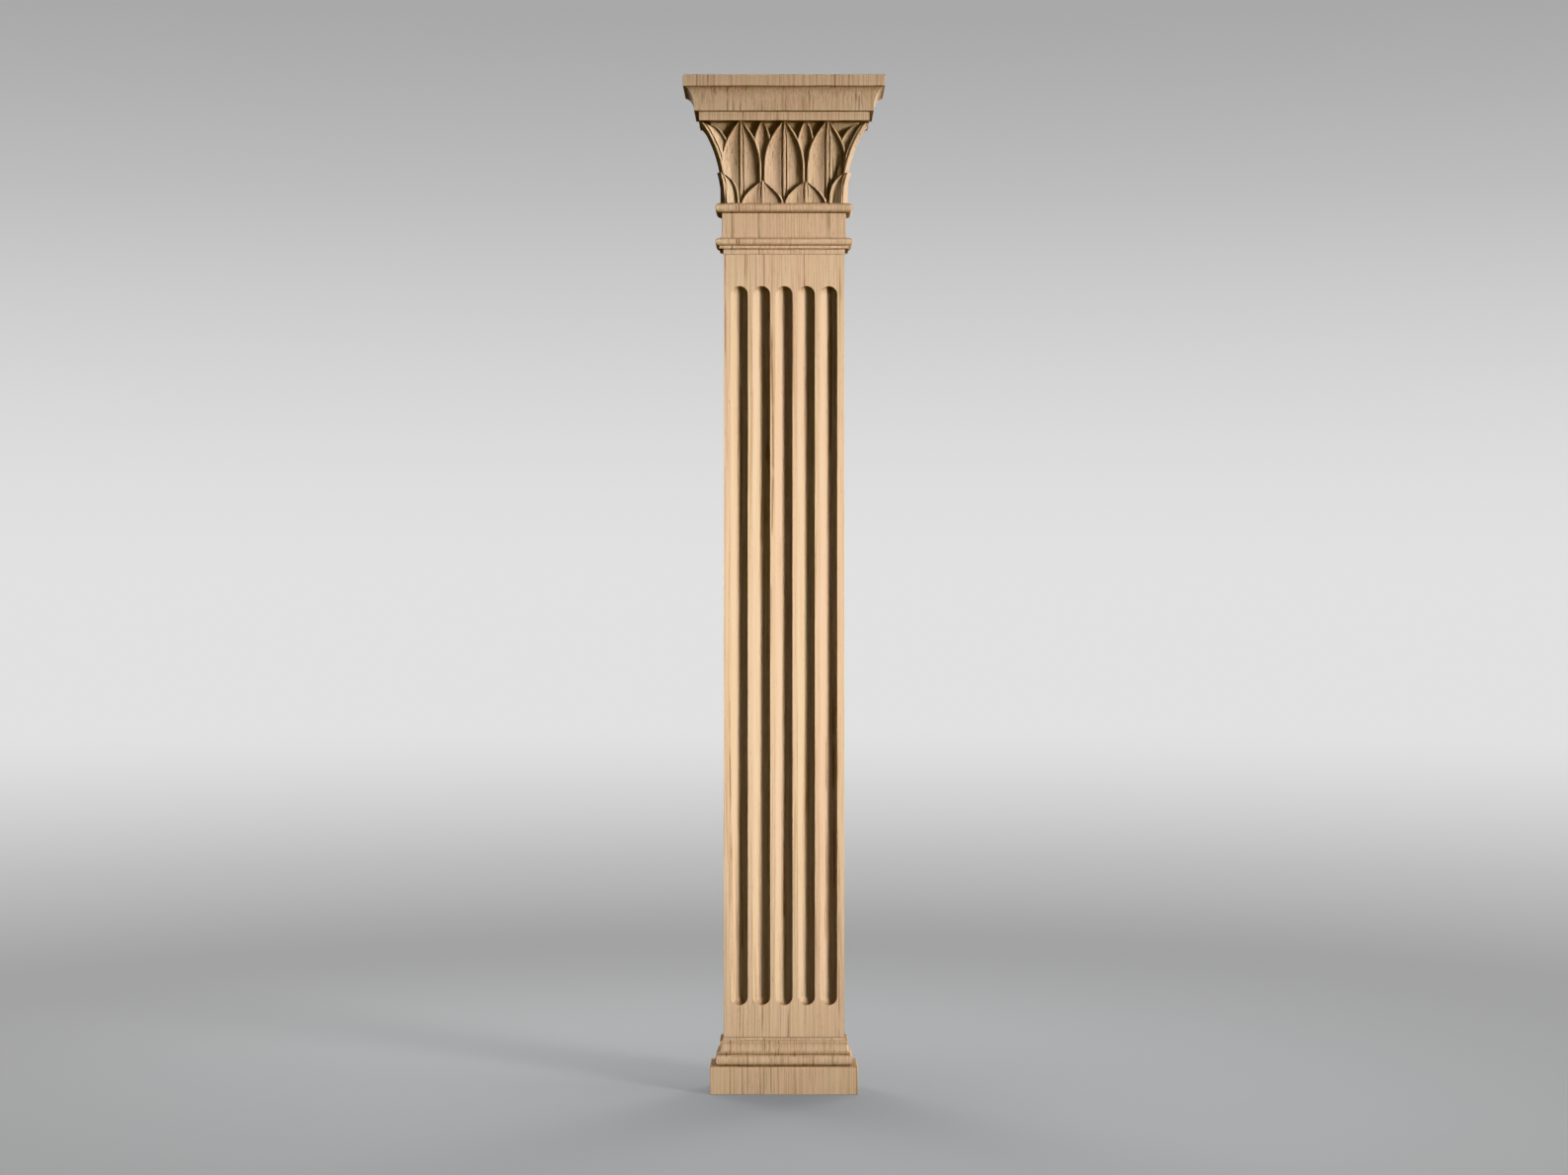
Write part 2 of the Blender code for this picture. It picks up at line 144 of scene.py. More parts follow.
# The leaves
LOWER_LEAVES = 2
CORNER_REACH = 0.0181
LEAF_GAP = 0.0004
UPPER_LEAF_GAP = 0.0019
LEAF_TUCK = 0.0016
LEAF_FOOT_SINK = 0.0010
LEAF_SIDE_TAPER = 0.0040
LEAF_TAPER_SHARE = 0.5
LEAST_LEAF = 0.0020
LEAF_BLUNT = 0.0003
LEAF_RIB = 0.0013
CORNER_BLUNT = 0.0081
CORNER_FOLD = 0.0036
CORNER_RIB = 0.0016
CORNER_GROOVE = 0.0009
CORNER_DEPTH_SHARE = 0.8
CORNER_BACK_SHARE = 0.9
RIM_WIDTH = 0.0025
RIM_STEP = 0.0017
RIM_FLATNESS = 0.75
RIM_EDGE_ANGLE = 20
RIM_FOOT_SHARE = 0.04
RIB_HEIGHT = 0.0010
RIB_DROP = 0.35
RIB_CURVE = 2.5
RIB_BEVEL = 0.0006
GROOVE_WIDTH = 0.0018
GROOVE_MIDDLE = 0.45
GROOVE_DOWN = (0.4, 0.7, 1.0)
GROOVE_UP = (0.35, 0.7)
MITRE_ROOM = 0.0006
FOOT_SHARE = 0.4
SCOOP_POWER = 2.0
SCOOP_VALLEY = 0.38
LIP_SHARE = 0.22
RIB_SHARE = 0.10
GROOVE_SHARE = 0.13
RIM_SHARE = 0.32
ROW_CROWDING = 1.7

# How finely curves are divided, and how round the worn arrises are
ARC_STEPS = 24
BELL_STEPS = 28
CORNER_STEPS = 5
CORNER_ROUND = 0.0004
PROFILE_ROUND = 0.00035
ROUND_STEPS = 3
SCOOP_STEPS = 14
CREST_STEPS = 6
RIB_STEPS = 5
SHARP_TURN = 30
ROUND_ARM_SHARE = 0.45
SMOOTH_ANGLE = 35
LEAF_SMOOTH_ANGLE = 40
WELD_DISTANCE = 0.000002

BELL_Z = (CAPITAL_LOW[2] + COLLAR_HEIGHT + LOWER_FILLET_HEIGHT + ASTRAGAL_HEIGHT + CAVETTO_HEIGHT
          + NECK_HEIGHT + UPPER_TORUS_HEIGHT)
LEAF_PITCH = (2 * SHAFT_HALF + 2 * BELL_FOOT - 2 * CORNER_REACH) / LOWER_LEAVES

# A leaf's tip stands at a share of the bell's height. Its half width narrows over its shoulder, by the
# powers fall and bend, down to blunt. Its face stands before the bell's by lift, and by curl more at the
# tip. A corner leaf's rim stands behind its face by setback, and its corner is cut off by fold on each
# side. At its foot the scoop has foot_scoop of its whole depth. Rib is half the rib's width, and groove is
# the depth beside it. The root goes under the bell's ground, and rows is how many sections a leaf has.
Leaf = namedtuple("Leaf", "tip half shoulder fall bend blunt lift curl "
                  "setback scoop foot_scoop fold rib groove root rows")

LARGE = Leaf(tip=1.006, half=(LEAF_PITCH - UPPER_LEAF_GAP) / 2, shoulder=0.0500, fall=2.75, bend=1.0,
             blunt=LEAF_BLUNT, lift=-0.0034, curl=0.0012, setback=0.0, scoop=0.0056, foot_scoop=0.35,
             fold=0.0, rib=LEAF_RIB, groove=0.0017, root=0.0010, rows=40)
SMALL = Leaf(tip=1.005, half=0.0088, shoulder=0.0240, fall=2.4, bend=1.0, blunt=LEAF_BLUNT,
             lift=-0.0038, curl=0.0, setback=0.0, scoop=0.0045, foot_scoop=1.0, fold=0.0,
             rib=0.0, groove=0.0, root=0.0014, rows=30)
CORNER = Leaf(tip=0.968, half=CORNER_REACH, shoulder=0.0123, fall=3.0, bend=3.0, blunt=CORNER_BLUNT,
              lift=0.0, curl=0.0, setback=0.0034, scoop=0.0018, foot_scoop=1.0, fold=CORNER_FOLD,
              rib=CORNER_RIB, groove=CORNER_GROOVE, root=0.0018, rows=40)
LOWER = Leaf(tip=0.286, half=(LEAF_PITCH - LEAF_GAP) / 2, shoulder=0.0235, fall=1.85, bend=1.0,
             blunt=LEAF_BLUNT, lift=-0.0006, curl=0.0002, setback=0.0, scoop=0.0042, foot_scoop=1.0,
             fold=0.0, rib=LEAF_RIB, groove=0.0007, root=0.0022, rows=26)
LOWER_CORNER = Leaf(tip=0.380, half=CORNER_REACH - LEAF_GAP / 2, shoulder=0.0210, fall=2.2, bend=2.2,
                    blunt=CORNER_BLUNT, lift=0.0011, curl=0.0012, setback=0.0020, scoop=0.0022,
                    foot_scoop=1.0, fold=CORNER_FOLD, rib=CORNER_RIB, groove=CORNER_GROOVE, root=0.0026,
                    rows=28)


# Shapes

def new_collection(name):
    collection = bpy.data.collections.new(name)
    bpy.context.scene.collection.children.link(collection)
    return collection


def add_object(name, mesh, collection):
    obj = bpy.data.objects.new(name, mesh)
    collection.objects.link(obj)
    return obj


def arc(centre, radii, start, end, steps):
    """Points of an elliptical arc, its angles in degrees, as (projection, height) pairs."""
    points = []
    for i in range(steps + 1):
        angle = math.radians(start + (end - start) * i / steps)
        points.append((centre[0] + radii[0] * math.cos(angle), centre[1] + radii[1] * math.sin(angle)))
    return points


def half_round(projection, bulge, low, height):
    """A moulding that bulges out to the projection between two heights."""
    centre = (projection - bulge, low + height / 2)
    return arc(centre, (bulge, height / 2), -90, 90, ARC_STEPS)


def softened(profile, radius):
    """The profile with its sharp outer corners rounded."""
    points = [Vector(profile[0])]
    for before, corner, after in zip(profile, profile[1:], profile[2:]):
        before, corner, after = Vector(before), Vector(corner), Vector(after)
        arm_in = corner - before
        arm_out = after - corner
        turn = arm_in.cross(arm_out)
        sharp = arm_in.angle(arm_out) > math.radians(SHARP_TURN)
        if not sharp or turn < 0:
            points.append(corner)
            continue
        reach = min(radius, arm_in.length * ROUND_ARM_SHARE, arm_out.length * ROUND_ARM_SHARE)
        start = corner - arm_in.normalized() * reach
        end = corner + arm_out.normalized() * reach
        for i in range(ROUND_STEPS + 1):
            t = i / ROUND_STEPS
            points.append(start * (1 - t) ** 2 + corner * 2 * t * (1 - t) + end * t ** 2)
    points.append(Vector(profile[-1]))
    return [tuple(point) for point in points]


def base_profile():
    z = BASE_LOW[2]
    profile = [(PLINTH_PROJECTION - PROFILE_ROUND, z), (PLINTH_PROJECTION, z + PROFILE_ROUND)]
    z += PLINTH_HEIGHT
    profile += [(PLINTH_PROJECTION, z - PLINTH_ARRIS), (PLINTH_PROJECTION - PLINTH_ARRIS, z)]
    profile += half_round(TORUS_PROJECTION, TORUS_BULGE, z, TORUS_HEIGHT)
    z += TORUS_HEIGHT
    profile += [(LIP_PROJECTION, z + LIP_HEIGHT / 2)]
    z += LIP_HEIGHT
    waist = z + SCOTIA_LOWER_HEIGHT
    reach = (LIP_PROJECTION - SCOTIA_PROJECTION, SCOTIA_LOWER_HEIGHT)
    profile += arc((LIP_PROJECTION, waist), reach, -90, -180, ARC_STEPS)
    reach = (BEAD_PROJECTION - SCOTIA_PROJECTION, SCOTIA_UPPER_HEIGHT)
    profile += arc((BEAD_PROJECTION, waist), reach, 180, 90, ARC_STEPS // 2)[1:]
    z = waist + SCOTIA_UPPER_HEIGHT + BEAD_HEIGHT
    profile += [(BEAD_PROJECTION, z - BEAD_ROUND), (BEAD_PROJECTION - BEAD_ROUND, z)]
    profile += [(BASE_FILLET_PROJECTION, z), (BASE_FILLET_PROJECTION, BASE_HIGH[2])]
    return softened(profile, PROFILE_ROUND)


def bell_share(z):
    return (z - BELL_Z) / BELL_HEIGHT


def bell_face(z):
    """How far the leaves' face stands before the shaft's face at a height of the bell."""
    share = bell_share(z)
    return BELL_FOOT + BELL_RISE * share + BELL_FLARE * share ** 3


def bell_ground(z):
    """The same for the ground that the leaves stand on."""
    return bell_face(z) - GROUND_DEPTH_FOOT - (GROUND_DEPTH_TOP - GROUND_DEPTH_FOOT) * bell_share(z)


def capital_profile():
    z = CAPITAL_LOW[2]
    profile = [(COLLAR_PROJECTION, z), (COLLAR_PROJECTION, z + COLLAR_HEIGHT)]
    z += COLLAR_HEIGHT
    profile += [(LOWER_FILLET_PROJECTION, z), (LOWER_FILLET_PROJECTION, z + LOWER_FILLET_HEIGHT)]
    z += LOWER_FILLET_HEIGHT
    profile += half_round(RING_PROJECTION, ASTRAGAL_HEIGHT / 2, z, ASTRAGAL_HEIGHT)
    z += ASTRAGAL_HEIGHT
    top = z + CAVETTO_HEIGHT
    profile += arc((NECK_PROJECTION + CAVETTO_DEPTH, top), (CAVETTO_DEPTH, CAVETTO_HEIGHT), -90, -180,
                   ARC_STEPS // 2)
    z = top + NECK_HEIGHT
    profile += [(NECK_PROJECTION, z)]
    profile += half_round(RING_PROJECTION, UPPER_TORUS_HEIGHT / 2, z, UPPER_TORUS_HEIGHT)
    for i in range(BELL_STEPS + 1):
        z = BELL_Z + BELL_HEIGHT * i / BELL_STEPS
        profile += [(bell_ground(z), z)]
    profile += [(BAND_PROJECTION, z), (BAND_PROJECTION, z + BAND_HEIGHT)]
    z += BAND_HEIGHT
    top = z + HOLLOW_HEIGHT
    reach = (TOP_PROJECTION - HOLLOW_FOOT_PROJECTION, HOLLOW_HEIGHT)
    profile += arc((TOP_PROJECTION, z), reach, 180, 90, ARC_STEPS)
    profile += [(TOP_PROJECTION, CAPITAL_HIGH[2] - PROFILE_ROUND),
                (TOP_PROJECTION - PROFILE_ROUND, CAPITAL_HIGH[2])]
    return softened(profile, PROFILE_ROUND)


def corner_path():
    """Stations of the way round a piece's front, from the wall on the left to the wall on the right.

    Each gives the side that it stands on, -1 or 1, and its angle round the corner, or None at the wall.
    """
    right = [(1, math.radians(90) * i / CORNER_STEPS) for i in range(CORNER_STEPS + 1)]
    left = [(-1, angle) for _, angle in right]
    return [(-1, None)] + left + right[::-1] + [(1, None)]


def station_point(side, angle, projection, z):
    half = SHAFT_HALF + projection
    if angle is None:
        return (side * half, WALL_Y, z)
    x = half - CORNER_ROUND + CORNER_ROUND * math.cos(angle)
    y = FACE_Y - projection + CORNER_ROUND - CORNER_ROUND * math.sin(angle)
    return (side * x, y, z)


def swept(name, profile, collection):
    """A moulded body: the profile led round the front, flat at the back, below and above."""
    bm = bmesh.new()
    path = corner_path()
    lines = [[bm.verts.new(station_point(*station, *point)) for point in profile] for station in path]
    for here, there in zip(lines, lines[1:]):
        for i in range(len(profile) - 1):
            bm.faces.new((here[i], there[i], there[i + 1], here[i + 1]))
    bm.faces.new([line[0] for line in reversed(lines)])
    bm.faces.new([line[-1] for line in lines])
    bm.faces.new(lines[0] + lines[-1][::-1])
    bmesh.ops.recalc_face_normals(bm, faces=bm.faces)
    mesh = bpy.data.meshes.new(name)
    bm.to_mesh(mesh)
    bm.free()
    return add_object(name, mesh, collection)


def leaf_tip(leaf):
    return BELL_Z + leaf.tip * BELL_HEIGHT


def leaf_outline(leaf, z):
    """Half of a leaf's whole width at a height."""
    share = min(1.0, max(0.0, 1.0 - (leaf_tip(leaf) - z) / leaf.shoulder))
    return max(leaf.blunt, leaf.half * (1.0 - share ** leaf.fall) ** (1.0 / leaf.bend))


def leaf_room(leaf, z):
    """How far a leaf reaches from its middle before it goes under the large leaf beside it."""
    large = leaf_outline(LARGE, z)
    if leaf is SMALL:
        return LEAF_PITCH / 2 - large + LEAF_TUCK
    if leaf is CORNER:
        edge = LEAF_PITCH * LOWER_LEAVES / 2 + large
        return max(SHAFT_HALF + bell_face(z) - edge + LEAF_TUCK, leaf.fold + leaf.rib)
    return leaf.half


def leaf_heights(leaf):
    """The heights of a leaf's sections, from its root up, closer together near its tip."""
    foot = BELL_Z - LEAF_FOOT_SINK
    length = leaf_tip(leaf) - foot
    return [foot + length * (1.0 - (1.0 - i / leaf.rows) ** ROW_CROWDING) for i in range(leaf.rows + 1)]


def leaf_marks(leaf, full):
    """Where a leaf's rib and groove end and its rim starts, counted out from its middle."""
    rib = leaf.fold + min(leaf.rib, full * RIB_SHARE)
    start = rib + min(GROOVE_WIDTH, full * GROOVE_SHARE)
    inner = full - min(RIM_WIDTH, full * RIM_SHARE)
    return rib, start, inner


def wave(low, high, share):
    """A smooth way from one value to another."""
    return low + (high - low) * (1 - math.cos(math.pi * share)) / 2


def rim_points(inner, full, rim):
    """The rounded rim, from the foot of its inner side over its crest to the leaf's edge."""
    points = []
    middle = (inner + full) / 2
    for i in range(1, CREST_STEPS + 1):
        angle = math.radians(180 - (180 - RIM_EDGE_ANGLE) * i / CREST_STEPS)
        out = middle + (full - middle) * math.cos(angle) / math.cos(math.radians(RIM_EDGE_ANGLE))
        crest = math.sin(angle) ** RIM_FLATNESS
        points.append((max(out, inner + (full - inner) * RIM_FOOT_SHARE), rim - RIM_STEP * (1 - crest)))
    return points


def scoop_rise(leaf, depth, share):
    """How far the scooped face stands above its valley. Beside a rib it rises again to a lip."""
    valley = SCOOP_VALLEY if leaf.rib else 0.0
    if share < valley:
        return depth * LIP_SHARE * (1 - share / valley) ** 2
    return (depth - RIM_STEP) * ((share - valley) / (1 - valley)) ** SCOOP_POWER


def groove_points(rib, middle, start, side, bottom, lip):
    """The groove beside a rib: down from the rib's side to its bottom, and up again to the scoop's lip."""
    down = [(rib + (middle - rib) * share, wave(side, bottom, share)) for share in GROOVE_DOWN]
    up = [(middle + (start - middle) * share, wave(bottom, lip, share)) for share in GROOVE_UP]
    return down + up


def face_relief(leaf, full, rim, height):
    """Half of a leaf's section from its middle out: (distance, projection) pairs.

    The height is the section's place between the leaf's foot and its tip, as a share.
    """
    rib, start, inner = leaf_marks(leaf, full)
    depth = leaf.scoop * min(1.0, full / leaf.half)
    depth *= leaf.foot_scoop + (1 - leaf.foot_scoop) * min(1.0, height / FOOT_SHARE)
    floor = rim - depth
    lip = floor + scoop_rise(leaf, depth, 0.0)
    relief = []
    if leaf.rib:
        for i in range(RIB_STEPS + 1):
            share = i / RIB_STEPS
            relief.append((rib * share, lip + RIB_HEIGHT * (1 - RIB_DROP * share ** RIB_CURVE)))
        side = lip + RIB_HEIGHT * (1 - RIB_DROP)
        middle = rib + (start - rib) * GROOVE_MIDDLE
        relief += groove_points(rib, middle, start, side, lip - leaf.groove, lip)
    for i in range(SCOOP_STEPS + 1):
        share = i / SCOOP_STEPS
        relief.append((start + (inner - start) * share, floor + scoop_rise(leaf, depth, share)))
    return relief + rim_points(inner, full, rim)


def corner_relief(leaf, full, face, _):
    """The same for a leaf that folds round a corner: the corner is cut off, and each half is dished."""
    rib, start, inner = leaf_marks(leaf, full)
    rim = face - leaf.setback
    dip = leaf.scoop * min(1.0, full / leaf.half)
    flank = face - RIB_BEVEL
    relief = [(leaf.fold / 2, face - leaf.fold / 2)]
    for i in range(RIB_STEPS + 1):
        share = i / RIB_STEPS
        relief.append((leaf.fold + (rib - leaf.fold) * share, face - RIB_BEVEL * share ** 2))
    middle = (rib + start) / 2
    groove = max(0.0, min(leaf.groove, middle - RIB_BEVEL - MITRE_ROOM))
    relief += groove_points(rib, middle, start, flank, flank - groove, flank)
    for i in range(SCOOP_STEPS + 1):
        share = i / SCOOP_STEPS
        level = flank + (rim - RIM_STEP - flank) * share - dip * 4 * share * (1 - share)
        relief.append((start + (inner - start) * share, level))
    return relief + rim_points(inner, full, rim)


def narrowed(relief, half, marks):
    """The relief made to end at a smaller half width: its points beyond the last mark that fits move in."""
    kept = max((mark for mark in marks if mark < half), default=0.0)
    points = []
    for out, _ in relief:
        place = out if out <= kept else kept + (out - kept) * (half - kept) / (relief[-1][0] - kept)
        i = max(j for j in range(len(relief) - 1) if relief[j][0] <= place or j == 0)
        (low, start), (high, end) = relief[i:i + 2]
        level = start + (end - start) * (place - low) / (high - low)
        points.append((place, level))
    return points


def leaf_rows(leaf, relief_of):
    """For each height of a leaf: the height, its relief, its face's projection and its back's."""
    rows = []
    for z in leaf_heights(leaf):
        share = max(0.0, (z - BELL_Z) / (leaf_tip(leaf) - BELL_Z))
        face = bell_face(z) + leaf.lift + leaf.curl * share ** 3
        full = leaf_outline(leaf, z)
        relief = relief_of(leaf, full, face, share)
        room = leaf_room(leaf, z)
        if room < full:
            relief = narrowed(relief, room, (leaf.fold, *leaf_marks(leaf, full)[:2]))
        rows.append((z, relief, face, bell_ground(z) - leaf.root))
    return rows


def face_leaf_sections(leaf, middle):
    """Sections of a leaf on the front of the column, about a line at the given distance from the axis."""
    sections = []
    for z, relief, face, back in leaf_rows(leaf, face_relief):
        half = relief[-1][0]
        outline = [(-out, level) for out, level in reversed(relief)] + relief[bool(leaf.rib):]
        tail = half - min(LEAF_SIDE_TAPER, half * LEAF_TAPER_SHARE)
        outline += [(tail, back), (-tail, back)]
        sections.append([(middle + out, -SHAFT_HALF - level, z) for out, level in outline])
    return sections


def corner_leaf_sections(leaf):
    """Sections of a leaf that folds round the column's front right corner, its rib on the mitre."""
    sections = []
    for z, relief, face, back in leaf_rows(leaf, corner_relief):
        half = relief[-1][0]
        corner = SHAFT_HALF + face
        depth = min(face - back, half * CORNER_DEPTH_SHARE)
        reach = half * CORNER_BACK_SHARE
        front = [(corner - out, SHAFT_HALF + level) for out, level in reversed(relief)]
        outline = front + [(y, x) for x, y in reversed(front[:-1])]
        outline += [(corner - depth, corner - reach), (SHAFT_HALF + back, SHAFT_HALF + back),
                    (corner - reach, corner - depth)]
        sections.append([(x, -y, z) for x, y in outline])
    return sections


def loft(name, sections, collection, turn):
    """A closed body through like sections, turned about the column's axis by quarter turns."""
    bm = bmesh.new()
    rings = [[bm.verts.new(point) for point in section] for section in sections]
    count = len(rings[0])
    for below, above in zip(rings, rings[1:]):
        for i in range(count):
            j = (i + 1) % count
            bm.faces.new((below[i], below[j], above[j], above[i]))
    bm.faces.new(list(reversed(rings[0])))
    bm.faces.new(rings[-1])
    bmesh.ops.recalc_face_normals(bm, faces=bm.faces)
    place = Matrix.Translation((0.0, AXIS_Y, 0.0)) @ Matrix.Rotation(math.radians(90) * turn, 4, "Z")
    bm.transform(place)
    mesh = bpy.data.meshes.new(name)
    bm.to_mesh(mesh)
    bm.free()
    return add_object(name, mesh, collection)


def leaf_middles(count):
    """Where the middles of a row of leaves stand across a face of the column."""
    return [(i - (count - 1) / 2) * LEAF_PITCH for i in range(count)]


def add_face_leaves(name, leaf, middles, collection):
    """A row of leaves on the front and both sides, without those that the wall would cut to a sliver."""
    wall = SHAFT_DEPTH - SHAFT_HALF
    for side, turn in (("front", 0), ("right", 1), ("left", -1)):
        for i, middle in enumerate(middles):
            if turn and middle * turn - leaf.half > wall - LEAST_LEAF:
                continue
            loft(f"{name}_{side}_{i + 1}", face_leaf_sections(leaf, middle), collection, turn)


def add_leaves(collection):
    add_face_leaves("large", LARGE, leaf_middles(LOWER_LEAVES + 1), collection)
    add_face_leaves("small", SMALL, leaf_middles(LOWER_LEAVES), collection)
    add_face_leaves("lower", LOWER, leaf_middles(LOWER_LEAVES), collection)
    for side, turn in (("right", 0), ("left", -1)):
        loft(f"corner_{side}", corner_leaf_sections(CORNER), collection, turn)
        loft(f"lower_corner_{side}", corner_leaf_sections(LOWER_CORNER), collection, turn)


def box(name, low, high, collection):
    bm = bmesh.new()
    bmesh.ops.create_cube(bm, size=1.0)
    for vertex in bm.verts:
        for axis in range(3):
            vertex.co[axis] = low[axis] + (vertex.co[axis] + 0.5) * (high[axis] - low[axis])
    mesh = bpy.data.meshes.new(name)
    bm.to_mesh(mesh)
    bm.free()
    return add_object(name, mesh, collection)


def boolean(obj, operation, collection, solver="EXACT"):
    modifier = obj.modifiers.new(operation.lower(), "BOOLEAN")
    modifier.operation = operation
    modifier.solver = solver
    modifier.operand_type = "COLLECTION"
    modifier.collection = collection


def weld(obj):
    modifier = obj.modifiers.new("weld", "WELD")
    modifier.merge_threshold = WELD_DISTANCE


def soft_arrises(obj, width):
    bevel = obj.modifiers.new("arrises", "BEVEL")
    bevel.width = width
    bevel.segments = ARRIS_SEGMENTS
    bevel.limit_method = "ANGLE"
    bevel.angle_limit = math.radians(ARRIS_ANGLE)


def frozen(obj, collection):
    """The object with its modifiers applied, as a plain mesh."""
    bpy.context.view_layer.update()
    evaluated = obj.evaluated_get(bpy.context.evaluated_depsgraph_get())
    mesh = bpy.data.meshes.new_from_object(evaluated)
    name = obj.name
    bpy.data.meshes.remove(obj.data)
    mesh.name = name
    return add_object(name, mesh, collection)


def grown(start, seen):
    """All vertices that hang together with the first one."""
    skin = [start]
    seen.add(start)
    for vertex in skin:
        for edge in vertex.link_edges:
            other = edge.other_vert(vertex)
            if other not in seen:
                seen.add(other)
                skin.append(other)
    return skin


def without_pockets(obj):
    """Deletes the small closed pockets that a union leaves inside, and keeps the outer skin."""
    bm = bmesh.new()
    bm.from_mesh(obj.data)
    seen = set()
    skins = [grown(vertex, seen) for vertex in bm.verts if vertex not in seen]
    outer = max(skins, key=len)
    for skin in skins:
        if skin is not outer:
            bmesh.ops.delete(bm, geom=skin, context="VERTS")
    bm.to_mesh(obj.data)
    bm.free()


def drop(collection):
    for obj in list(collection.objects):
        bpy.data.objects.remove(obj)
    bpy.data.collections.remove(collection)


def shaded(obj, angle):
    """Smooth shading that breaks at sharp edges, with large faces kept flat."""
    obj.data.shade_smooth()
    obj.data.set_sharp_from_angle(angle=math.radians(angle))
    normals = obj.modifiers.new("normals", "WEIGHTED_NORMAL")
    normals.keep_sharp = True


def add_flutes(collection):
    """Cutters for the flutes: round bars with round ends, sunk in the shaft's face."""
    radius = (FLUTE_WIDTH ** 2 / 4 + FLUTE_DEPTH ** 2) / (2 * FLUTE_DEPTH)
    spread = 2 * SHAFT_HALF - 2 * FLUTE_EDGE_MARGIN - FLUTE_WIDTH
    low = SHAFT_LOW[2] + FLUTE_STOP_LOW
    high = SHAFT_HIGH[2] - FLUTE_STOP_HIGH
    outline = [(0.0, low)]
    outline += arc((0.0, low + radius), (radius, radius), -90, 0, FLUTE_END_STEPS)[1:]
    outline += arc((0.0, high - radius), (radius, radius), 0, 90, FLUTE_END_STEPS)[:-1]
    outline += [(0.0, high)]
    for i in range(FLUTE_COUNT):
        x = spread * (i / (FLUTE_COUNT - 1) - 0.5)
        mesh = bpy.data.meshes.new(f"flute_{i + 1}")
        points = [(out, 0.0, z) for out, z in reversed(outline)]
        mesh.from_pydata(points, [(j, j + 1) for j in range(len(points) - 1)], [])
        flute = add_object(mesh.name, mesh, collection)
        flute.location = (x, FACE_Y + FLUTE_DEPTH - radius, 0.0)
        screw = flute.modifiers.new("turn", "SCREW")
        screw.steps = FLUTE_SIDES
        screw.render_steps = FLUTE_SIDES
        screw.use_merge_vertices = True
        screw.merge_threshold = POLE_MERGE


# Materials

class Nodes:
    """A short way to write the node tree of a material or a world."""

    def __init__(self, owner):
        owner.use_nodes = True
        self.tree = owner.node_tree
        self.shader = self.tree.nodes.get("Principled BSDF")

    def add(self, kind, inputs=None, **settings):
        node = self.tree.nodes.new(kind)
        for name, value in settings.items():
            setattr(node, name, value)
        for key, value in (inputs or {}).items():
            self.give(node.inputs[key], value)
        return node

    def give(self, socket, value):
        if isinstance(value, bpy.types.NodeSocket):
            self.tree.links.new(value, socket)
        else:
            socket.default_value = value

    def math(self, operation, a, b=0.0):
        return self.add("ShaderNodeMath", {0: a, 1: b}, operation=operation).outputs[0]

    def ramp(self, value, low, high, start=0.0, end=1.0):
        node = self.add("ShaderNodeMapRange", {0: value, 1: low, 2: high, 3: start, 4: end},
                        interpolation_type="SMOOTHSTEP")
        return node.outputs[0]

    def mapped(self, vector, scale=(1.0, 1.0, 1.0), offset=(0.0, 0.0, 0.0)):
        node = self.add("ShaderNodeMapping", {"Vector": vector, "Scale": scale, "Location": offset})
        return node.outputs[0]

    def noise(self, vector, kind):
        node = self.add("ShaderNodeTexNoise", {"Vector": self.mapped(vector, kind.cells), "Scale": 1.0,
                                               "Detail": kind.detail, "Roughness": kind.roughness})
        return node.outputs[0]

    def mix(self, factor, a, b, blend="MIX"):
        node = self.add("ShaderNodeMix", data_type="RGBA", blend_type=blend)
        self.give(node.inputs[0], factor)
        self.give(node.inputs[6], a)
        self.give(node.inputs[7], b)
        return node.outputs[2]


def linear(red, green, blue):
    """A colour given by its screen values, 0 to 255, as the shader needs it."""
    values = []
    for value in (red, green, blue):
        value /= 255
        values.append(value / 12.92 if value <= 0.04045 else ((value + 0.055) / 1.055) ** 2.4)
    return (*values, 1.0)


PALE = linear(236, 205, 170)
ROSY = linear(233, 198, 164)
STRAW = linear(231, 202, 161)
STREAK = linear(184, 139, 103)
PORE = linear(134, 91, 62)
END_GRAIN = linear(214, 182, 146)
BOUNCE = (0.1, 0.1, 0.1, 1.0)
WHITE = (1.0, 1.0, 1.0, 1.0)
BLACK = (0.0, 0.0, 0.0, 1.0)

# The wood's noises, with their cells to the metre across the face, into the depth and along the grain
Noise = namedtuple("Noise", "cells detail roughness")
DRIFT = Noise((9.0, 9.0, 2.2), 1.0, 0.5)
BROAD = Noise((26.0, 12.0, 0.9), 2.0, 0.5)
BANDS = Noise((150.0, 60.0, 1.8), 3.0, 0.6)
FINE = Noise((620.0, 160.0, 5.0), 2.0, 0.6)
HAIR = Noise((1500.0, 450.0, 12.0), 2.0, 0.6)
RINGS = Noise((420.0, 120.0, 2.2), 1.0, 0.5)
BREAKS = Noise((60.0, 30.0, 16.0), 2.0, 0.5)
PORES = Noise((2600.0, 900.0, 120.0), 1.0, 0.5)
RIPPLES = Noise((60.0, 60.0, 620.0), 1.0, 0.5)

# Between which values of its noise each marking comes in
ROSY_RANGE = (0.38, 0.62)
STRAW_RANGE = (0.42, 0.66)
STREAK_RANGE = (0.52, 0.64)
STREAK_BAND_RANGE = (0.30, 0.62)
HAIR_RANGE = (0.46, 0.70)
RING_RANGE = (0.60, 0.70)
BREAK_RANGE = (0.40, 0.56)
PORE_RANGE = (0.66, 0.74)
END_GRAIN_RANGE = (0.35, 0.95)
ROUGH_RANGE = (0.3, 0.7)

